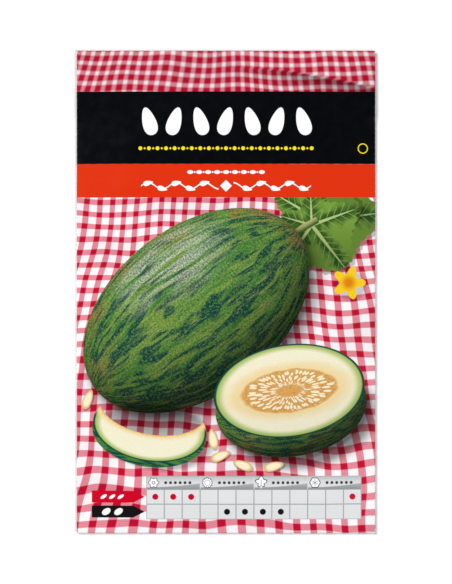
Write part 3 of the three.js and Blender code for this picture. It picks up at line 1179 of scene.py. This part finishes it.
def crystal_sign(dx, dy):
    rays = [turned(dx, dy, degrees) for degrees in (0, 60, 120)]
    hexagon = either(*(abs(across) for _, across in rays)) - 1.15
    return hexagon, any_line(SIGN_LINE, *(along for along, _ in rays)) * ramp(length(dx, dy), 1.0, 0.9)


flower_sign = round_sign(6, 1.15, 0.18, 0.38, 0.16)
sun_sign = round_sign(12, 1.18, 0.12, 0.72, 0.1)
SIGNS = (flower_sign, sun_sign, leaf_sign, crystal_sign)


def signs(x, y, colour):
    for index, sign in enumerate(SIGNS):
        outside, lines = sign(x - (CHART_LEFT + SEASON_WIDTH * index + SIGN_X), y - SIGN_Y)
        inner = blend(lines, ORNAMENT_WHITE, INK)
        colour = layered(colour, (within(outside, SIGN_OUTLINE), INK), (within(outside), inner))
    local_x = ((x - CHART_LEFT) / SEASON_WIDTH).math("FRACT") * SEASON_WIDTH
    dots = disc(from_nearest(local_x, RULE_PITCH), y - SIGN_Y, RULE_DOT_RADIUS)
    in_season = block(local_x, y, RULE_START, RULE_END, HEADER_BOTTOM, CHART_TOP)
    return blend(dots * in_season * band(x, CHART_LEFT, CHART_RIGHT), colour, SIGN_GREY)


print("signs for", len(SIGNS), "seasons: a flower, a sun, a leaf and a crystal")

# %% The chart's dots and tags
SOWING_MONTHS, HARVEST_MONTHS = (0, 1, 2, 11), (4, 5, 6, 7)
SOWING_Y, HARVEST_Y = (HEADER_BOTTOM + ROW_LINE) / 2, (ROW_LINE + CHART_BOTTOM) / 2
DOT_RADIUS = 0.82
TAG_RED = srgb(208, 2, 36)
TAG_LEFT, TAG_SHOULDER, TAG_TIP, TAG_HALF_HEIGHT = -36.1, -25.0, -21.85, 1.62
MARK_SLANT = 32
SEED_MARKS = [Oval(middle, SOWING_Y, 0.95, 0.42, MARK_SLANT) for middle in (-32.9, -30.6, -28.3)]
FRUIT_MARKS = [Oval(middle, HARVEST_Y, 1.25, 0.8, MARK_SLANT) for middle in (-32.2, -28.9)]


def tag(x, y, middle):
    """An arrow-shaped tag that points to the right."""
    off_middle = abs(y - middle)
    slope = TAG_HALF_HEIGHT / (TAG_TIP - TAG_SHOULDER)
    pointed = within(off_middle - (TAG_TIP - x) * slope)
    return pointed * within(off_middle, TAG_HALF_HEIGHT) * past(x, TAG_LEFT)


def chart(x, y, colour):
    colour = signs(x, y, chart_grid(x, y, colour))
    for chosen, middle, ink in ((SOWING_MONTHS, SOWING_Y, TAG_RED), (HARVEST_MONTHS, HARVEST_Y, INK)):
        for month in chosen:
            centre = CHART_LEFT + (month + 0.5) * MONTH_WIDTH
            colour = blend(disc(x - centre, y - middle, DOT_RADIUS), colour, ink)
        colour = blend(tag(x, y, middle), colour, ink)
    reaches = [length(*on_oval(x, y, mark)) for mark in SEED_MARKS + FRUIT_MARKS]
    return blend(either(*(ramp(reach, 1.1, 0.9) for reach in reaches)), colour, ORNAMENT_WHITE)


print("sowing months:", SOWING_MONTHS, "harvest months:", HARVEST_MONTHS, "counted from the first of spring")

# %% [markdown]
# ## The back of the packet
#
# The back is seen only when the packet is picked up, and a real one tells how to sow. It could be left
# white, but signs tell that in any language. So the two bands come again on paper-white, and under them
# four round pictures for depth, water, sun and fruit, a row of seedlings at their distance, an empty field
# for a date, and a strip of the cloth. The pieces of the front serve here too. The back panel is printed
# head down on the flat sheet, so its own upright place is found first.

# %% The back's pictures
BACK_PAPER = srgb(250, 249, 244)
PICTURE_GREEN, PICTURE_FIELD = srgb(58, 118, 52), srgb(232, 240, 218)
SOIL, WATER = srgb(120, 78, 48), srgb(66, 142, 196)
PICTURE_RADIUS, PICTURE_RIM = 7.0, 0.5
PICTURE_X, PICTURE_Y = (-28.5, -9.5, 9.5, 28.5), 20.0
DROPS = ((-2.6, -1.2), (2.6, -1.2), (0.0, 1.8))


def framed(x, y, colour):
    """A round field with a green rim. Like all the pictures it is drawn round the zero of x and y."""
    distance = length(x, y)
    rim = ruled(distance - PICTURE_RADIUS, PICTURE_RIM)
    return layered(colour, (within(distance, PICTURE_RADIUS), PICTURE_FIELD), (rim, PICTURE_GREEN))


def depth_picture(x, y, colour):
    """A seed that lies in the soil."""
    inside = ramp(length(x, y), PICTURE_RADIUS - 0.3, PICTURE_RADIUS - 0.45)
    return loose_seed(x, y, blend(inside * ramp(y, 1.0, 0.8), colour, SOIL), (0.0, -2.8), 12)


def water_picture(x, y, colour):
    """Three drops."""
    for drop_x, drop_y in DROPS:
        along, across = (y - drop_y) / 2.1, (x - drop_x) / 1.35
        drop = length(along, across * (1 + 0.6 * along))
        colour = blend(ramp(drop, 1.04, 0.96), colour, WATER)
    return colour


def sun_picture(x, y, colour):
    distance, angle = polar(x, y)
    rays = ramp(cosine(angle * 12), 0.1, 0.3) * band(distance, 3.1, 4.9)
    return blend(either(rays, within(distance, 2.5)), colour, FLOWER_YELLOW)


def fruit_picture(x, y, colour):
    along, across = on_oval(x, y, Oval(0.0, 0.0, 4.8, 3.3, 25))
    girth = across / root(1 - along * along).math("MAXIMUM", 0.1)
    stripes = ramp(abs((girth * 7.0).math("SINE")), 0.3, 0.6)
    return blend(ramp(length(along, across), 1.0, 0.96), colour, blend(stripes, SKIN_OLIVE, PICTURE_GREEN))


PICTURES = (depth_picture, water_picture, sun_picture, fruit_picture)
print("round pictures:", len(PICTURES), "of", 2 * PICTURE_RADIUS, "mm")

# %% Seedlings
SOIL_LINE = -15.0
SEEDLING_X, SEEDLING_HEIGHT = (-26.0, 0.0, 26.0), 7.0
STEM_HALF_WIDTH, LEAF_SLANT = 0.3, 24


def seedling(x, y, colour, centre_x):
    """A stem and two seed leaves over the soil."""
    top = SOIL_LINE + SEEDLING_HEIGHT
    shape = block(x, y, centre_x - STEM_HALF_WIDTH, centre_x + STEM_HALF_WIDTH, SOIL_LINE, top)
    for side in (-1, 1):
        blade = Oval(centre_x + side * 3.0, top + 1.2, 3.3, 1.6, side * LEAF_SLANT)
        shape = either(shape, ramp(length(*on_oval(x, y, blade)), 1.0, 0.95))
    return blend(shape, colour, PICTURE_GREEN)


print("seedlings stand", SEEDLING_X[-1], "mm apart on the back")

# %% The back's layout
BACK_BLACK, BACK_RED = (38.0, 50.0), (34.5, 38.0)
BACK_SEED_ROW_Y, BACK_SEED_ROW_SCALE = 43.2, 0.8
SOIL_DEPTH, SOIL_HALF_LENGTH = 4.0, 35.5
SPACING_Y, SPACING_LINE, SPACING_HALF_LENGTH = SOIL_LINE - 6.5, 0.35, 27.5
DATE_BOX, DATE_RIM = (8.0, 35.0, -47.0, -36.0), 0.4
CLOTH_STRIP_TOP = -54.0


def spacing_line(x, y):
    """A thin line under the soil, with a diamond under each seedling."""
    line = ruled(y - SPACING_Y, SPACING_LINE) * band(x, SEEDLING_X[0], SEEDLING_X[-1])
    diamonds = ramp(from_nearest(x, SEEDLING_X[-1]) + abs(y - SPACING_Y), 1.1, 0.95)
    return either(line, diamonds * centred(x, SPACING_HALF_LENGTH))


def date_box(x, y):
    left, right, bottom, top = DATE_BOX
    inner = block(x, y, left + DATE_RIM, right - DATE_RIM, bottom + DATE_RIM, top - DATE_RIM)
    return block(x, y, *DATE_BOX) * (1 - inner)


def back_picture(x, y):
    colour = layered(
        BACK_PAPER,
        (band(y, *BACK_BLACK), BAND_BLACK),
        (band(y, *BACK_RED), BAND_RED),
        (seed_row(x, y, BACK_SEED_ROW_Y, BACK_SEED_ROW_SCALE), ORNAMENT_WHITE),
    )
    for centre_x, draw_picture in zip(PICTURE_X, PICTURES):
        local = x - centre_x, y - PICTURE_Y
        colour = draw_picture(*local, framed(*local, colour))
    soil = block(x, y, -SOIL_HALF_LENGTH, SOIL_HALF_LENGTH, SOIL_LINE - SOIL_DEPTH, SOIL_LINE)
    colour = blend(soil, colour, scaled(SOIL, 0.85 + 0.3 * noise(x * 2.4, y * 2.4, 3.0)))
    for centre_x in SEEDLING_X:
        colour = seedling(x, y, colour, centre_x)
    return layered(
        colour,
        (either(spacing_line(x, y), date_box(x, y)), SIGN_GREY),
        (ramp(y, CLOTH_STRIP_TOP, CLOTH_STRIP_TOP - EDGE), cloth_ground(x, y)),
    )


print("empty field for a date in mm:", DATE_BOX[1] - DATE_BOX[0], "by", DATE_BOX[3] - DATE_BOX[2])

# %% [markdown]
# ## Paper
#
# The outside is coated paper, which is smooth with a satin shine, and the inside and the cut edges are bare
# white paper. Real paper is never quite even: fibres make a fine relief, and the shine comes in faint
# clouds. Along a fold the coating cracks and shows a little white. Edge wear is often found with the
# Pointiness of a dense mesh, but here the sheet knows where its folds are, so the crack follows the
# distance to those lines. Noise is enough for the fibres. Every paper has the grain, so it is a node group,
# and the cracked fold is another.

# %% The paper groups
CRACK_WIDTH = 0.16
CORNER_REACH = 3.0


def make_paper_grain():
    tree, (x, y) = new_group("paper grain", {"X": 0.0, "Y": 0.0}, {"Height": VALUE, "Shine": VALUE})
    fibres = noise(x * 3.0, y * 2.2, 4.0, 0.65)
    clouds = noise(x * 0.35, y * 0.35, 2.0)
    return finish_group(tree, Height=fibres, Shine=clouds)


def make_cracked_fold():
    inputs = {"X": 0.0, "Y": 0.0, "Half width": 40.0, "Half height": 65.0}
    tree, (x, y, half_width, half_height) = new_group("cracked fold", inputs, {"Mask": VALUE})
    from_side, from_end = abs(half_width - abs(x)), abs(half_height - abs(y))
    corner = ramp(from_side + from_end, CORNER_REACH, 0.0)
    near = ramp(from_side.math("MINIMUM", from_end), CRACK_WIDTH * (1 + corner), 0.0)
    patchy = noise(x * 1.1, y * 1.1, 4.0, 0.7)
    return finish_group(tree, Mask=near * ramp(patchy + corner * 0.1, 0.5, 0.66))


paper_grain = make_paper_grain()
cracked_fold = make_cracked_fold()

# %% A paper material
REFLECTANCE = 0.88
FIBRE_HEIGHT = 0.02 * MM
SHINE_CLOUDS = 0.12


def new_material(name, roughness):
    """A material of one roughness, and the inputs of its Principled shader."""
    material = bpy.data.materials.new(name)
    material.use_nodes = True
    finish = material.node_tree.nodes["Principled BSDF"].inputs
    feed(finish["Roughness"], roughness)
    return material, finish


def flat_place(vector):
    """The x and the y of a vector, as two fields."""
    parts = vector.tree.nodes.new("ShaderNodeSeparateXYZ")
    feed(parts.inputs[0], vector)
    return Field(parts.outputs[0]), Field(parts.outputs[1])


def add_relief(finish, height, strength, depth):
    values = {"Height": height, "Strength": strength, "Distance": depth}
    feed(finish["Normal"], add_node(height.tree, "ShaderNodeBump", values))


def make_paper(name, ink, roughness, shine, relief):
    """Paper with ink: a function that gives the colour at a place on the sheet and how much rougher it is."""
    material, finish = new_material(name, roughness)
    x, y = flat_place(add_node(material.node_tree, "ShaderNodeUVMap", {}, uv_map=FLAT_MAP))
    colour, rougher = ink(x, y)
    fibres, clouds = use_group(paper_grain, x, y)
    feed(finish["Base Color"], scaled(colour, REFLECTANCE))
    feed(finish["Roughness"], (clouds - 0.5) * SHINE_CLOUDS + (roughness + rougher))
    feed(finish["Specular IOR Level"], shine)
    add_relief(finish, fibres, relief, FIBRE_HEIGHT)
    print(name, "has", len(material.node_tree.nodes), "nodes")
    return material


print("the whitest ink-free paper sends back", REFLECTANCE, "of the light")

# %% The printed and the bare paper
PAPER_WHITE = srgb(253, 252, 250)
SATIN = {"roughness": 0.22, "shine": 0.3, "relief": 0.3}
BARE = {"roughness": 0.82, "shine": 0.5, "relief": 0.6}
CRACK_WHITENESS, CRACK_ROUGHNESS = 0.6, 0.3
FRONT_FOLD_X = HALF_WIDTH + SIDE_FOLD_LENGTH / 2
FRONT_FOLD_Y = HALF_HEIGHT + END_FOLD_LENGTH / 2


def front_ink(x, y):
    colour = chart(x, y, bands(x, y, picture(x, y)))
    (cracked,) = use_group(cracked_fold, x, y, FRONT_FOLD_X, FRONT_FOLD_Y)
    return blend(cracked * CRACK_WHITENESS, colour, PAPER_WHITE), cracked * CRACK_ROUGHNESS


def back_ink(x, y):
    return back_picture(-x, -y - (2 * HALF_HEIGHT + END_FOLD_LENGTH)), 0.0


def no_ink(x, y):
    return scaled(PAPER_WHITE, 0.95 + 0.06 * noise(x * 0.5, y * 0.5, 3.0)), 0.0


front_print = make_paper("front print", front_ink, **SATIN)
bare_paper = make_paper("bare paper", no_ink, **BARE)
back_print = make_paper("back print", back_ink, **SATIN)
for material in (front_print, bare_paper, back_print, bare_paper):
    packet.data.materials.append(material)
print("the sheet's materials, outside and then inside:", len(packet.data.materials))

# %% [markdown]
# ## A map for a picture of the print
#
# The nodes print straight on the flat sheet, as sharp as one likes. A program that can't read Blender's
# nodes takes the finish as a picture instead, so the sheet also gets a map that spreads it over one square
# with no overlaps. Blender's Smart UV Project could make it, but gives the hidden inside as much room as
# the front. Here the front gets most of the square, the back panel less, the bare inside little, and the
# cut edges one small patch of bare paper that they all share. The paper's thickness is made real first, so
# that the map covers its inside and its edges too.

# %% The map for a picture of the print
BAKE_MAP = "OFBake"
MAP_MARGIN = 1.0
SHEET_RIGHT = HALF_WIDTH + SIDE_FOLD_LENGTH + SIDE_FLAP_WIDTH
SHEET_TOP = HALF_HEIGHT + END_FOLD_LENGTH + CLOSING_FLAP_DEPTH
FRONT_LOW = -HALF_HEIGHT - END_FOLD_LENGTH
SHEET_LOW = FRONT_LOW - (2 * HALF_HEIGHT - BACK_PANEL_END)
MAP_SIDE = SHEET_TOP - FRONT_LOW + 2 * MAP_MARGIN
RIGHT_ZONE = 2 * (SHEET_RIGHT + MAP_MARGIN)
BACK_SCALE = (MAP_SIDE - RIGHT_ZONE - MAP_MARGIN) / (2 * HALF_WIDTH)
INSIDE_CORNER = (RIGHT_ZONE, (FRONT_LOW - SHEET_LOW) * BACK_SCALE + 2 * MAP_MARGIN)
INSIDE_SCALE = (MAP_SIDE - INSIDE_CORNER[1] - MAP_MARGIN) / (SHEET_TOP - SHEET_LOW)
EDGE_CORNER = (MAP_SIDE - 3 * MAP_MARGIN, INSIDE_CORNER[1] + MAP_MARGIN)
EDGE_PATCH = np.array([(0, 0), (1, 0), (1, 1), (0, 1)]) + EDGE_CORNER
print("map side in mm:", round(MAP_SIDE, 1))
print("scale of the back:", round(BACK_SCALE, 2), "and of the inside:", round(INSIDE_SCALE, 2))

# %% Laying out the map
NO_AREA = 1e-6


def moved(flat, low, scale, corner):
    """Places on the sheet, scaled and moved so that a low point comes to a corner of the map."""
    return (flat - low) * scale + corner


def make_bake_map(mesh):
    flat = np.empty(len(mesh.loops) * 2, np.float32)
    mesh.uv_layers[FLAT_MAP].data.foreach_get("uv", flat)
    flat = flat.reshape(-1, 4, 2)
    material = np.empty(len(mesh.polygons), np.int32)
    mesh.polygons.foreach_get("material_index", material)
    front = moved(flat, (-SHEET_RIGHT, FRONT_LOW), 1.0, (MAP_MARGIN, MAP_MARGIN))
    back = moved(flat, (-HALF_WIDTH, SHEET_LOW), BACK_SCALE, (RIGHT_ZONE, MAP_MARGIN))
    inside = moved(flat, (-SHEET_RIGHT, SHEET_LOW), INSIDE_SCALE, INSIDE_CORNER)
    material = material[:, None, None]
    places = np.where(material == FRONT, front, np.where(material == BACK, back, inside))
    one, other = flat[:, 2] - flat[:, 0], flat[:, 3] - flat[:, 1]
    is_edge = np.abs(one[:, 0] * other[:, 1] - one[:, 1] * other[:, 0]) < NO_AREA
    places[is_edge] = EDGE_PATCH
    bake = mesh.uv_layers.new(name=BAKE_MAP)
    bake.data.foreach_set("uv", (places / MAP_SIDE).astype(np.float32).ravel())
    return int(is_edge.sum())


solid = bpy.data.meshes.new_from_object(packet.evaluated_get(bpy.context.evaluated_depsgraph_get()))
packet.modifiers.clear()
packet.data = solid
print("cut edge faces:", make_bake_map(solid), "of", len(solid.polygons))

# %% [markdown]
# ## The seeds
#
# The seeds are closed up inside the packet, and still get their own finish: a smooth straw-coloured coat
# with faint tan veins. A picture of a seed could be laid on each, but noise in millimetres gives every seed
# its own veins at once. The model's seeds are coarse solids. They could be modelled again, but a
# Subdivision modifier rounds them where they lie.

# %% The seeds' finish
SEED_STRAW, SEED_TAN = srgb(232, 214, 168), srgb(196, 164, 104)
SEED_ROUGHNESS, SEED_RELIEF = 0.5, 0.3
VEIN_HEIGHT = 0.05 * MM


def make_seed_coat():
    material, finish = new_material("seed coat", SEED_ROUGHNESS)
    x, y = flat_place(add_node(material.node_tree, "ShaderNodeTexCoord", {}, "Object"))
    veins = noise(x / MM * 0.8, y / MM * 0.8, 4.0, 0.6)
    feed(finish["Base Color"], blend(ramp(veins, 0.4, 0.7), SEED_STRAW, SEED_TAN))
    add_relief(finish, veins, SEED_RELIEF, VEIN_HEIGHT)
    return material


seed_coat = make_seed_coat()
for name in SEED_NAMES:
    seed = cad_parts[name]
    seed.data.materials.clear()
    seed.data.materials.append(seed_coat)
    rounding = seed.modifiers.new("rounding", "SUBSURF")
    rounding.levels = rounding.render_levels = 1
print("seeds coated and rounded:", len(SEED_NAMES))

# %% [markdown]
# ## Floor and light
#
# The photograph has a plain white ground and even light with no hard shadows. A sun lamp is even but casts
# hard shadows, and a bright world alone casts almost none, so that the packet would not seem to lie on
# anything. Big, far lamps do both: a key from the upper left and a weaker fill from the lower right, each a
# square softbox more than two metres away. Both stand high, as a low lamp would mirror in the satin paper
# and wash out the print in low views. A lamp's watts follow from how bright it should make white paper,
# from its distance and from its slant, so the two are set by brightness. The world adds a little light from
# all sides. What the camera sees of it past the edge of the floor is paler than that, so low views also end
# in a pale ground.

# %% The studio
FLOOR_PALE, FLOOR_ROUGHNESS = (0.9, 0.9, 0.9), 0.9
FLOOR_HALF = 3.0
SOFTBOX_SIZE = 1.1
KEY_PLACE, KEY_BRIGHTNESS = (-1.5, 1.25, 1.8), 0.74
FILL_PLACE, FILL_BRIGHTNESS = (1.55, -1.05, 2.1), 0.47
WORLD_LIGHT, BACKDROP = 0.06, 0.92


def make_floor():
    mesh = bpy.data.meshes.new("floor")
    corners = [(x * FLOOR_HALF, y * FLOOR_HALF, 0) for x, y in ((-1, -1), (1, -1), (1, 1), (-1, 1))]
    mesh.from_pydata(corners, [], [(0, 1, 2, 3)])
    material, finish = new_material("floor", FLOOR_ROUGHNESS)
    feed(finish["Base Color"], FLOOR_PALE)
    mesh.materials.append(material)
    floor = add_object("floor", mesh)


def make_softbox(name, place, brightness):
    """A square lamp that makes level white paper at the origin as bright as asked, where 1 is white."""
    distance = math.dist(place, (0, 0, 0))
    slant = place[2] / distance
    data = bpy.data.lights.new(name, "AREA")
    data.energy = brightness * math.pi**2 * distance**2 / slant
    data.size = SOFTBOX_SIZE
    lamp = add_object(name, data)
    lamp.location = place
    lamp.rotation_euler = (-lamp.location).to_track_quat("-Z", "Y").to_euler()
    print(name, "softbox:", round(data.energy, 1), "W")


def make_world():
    world = bpy.data.worlds.new("world")
    world.use_nodes = True
    background = world.node_tree.nodes["Background"].inputs
    feed(background["Color"], (1.0, 1.0, 1.0))
    seen = add_node(world.node_tree, "ShaderNodeLightPath", {}, "Is Camera Ray")
    feed(background["Strength"], seen * (BACKDROP - WORLD_LIGHT) + WORLD_LIGHT)
    bpy.context.scene.world = world


make_floor()
make_softbox("key", KEY_PLACE, KEY_BRIGHTNESS)
make_softbox("fill", FILL_PLACE, FILL_BRIGHTNESS)
make_world()
bpy.context.scene.view_settings.view_transform = "Standard"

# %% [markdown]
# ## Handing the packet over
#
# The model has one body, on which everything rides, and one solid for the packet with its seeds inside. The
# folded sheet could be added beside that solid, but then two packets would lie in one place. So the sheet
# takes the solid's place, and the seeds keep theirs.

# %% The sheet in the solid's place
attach(packet, "root")
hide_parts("packet")
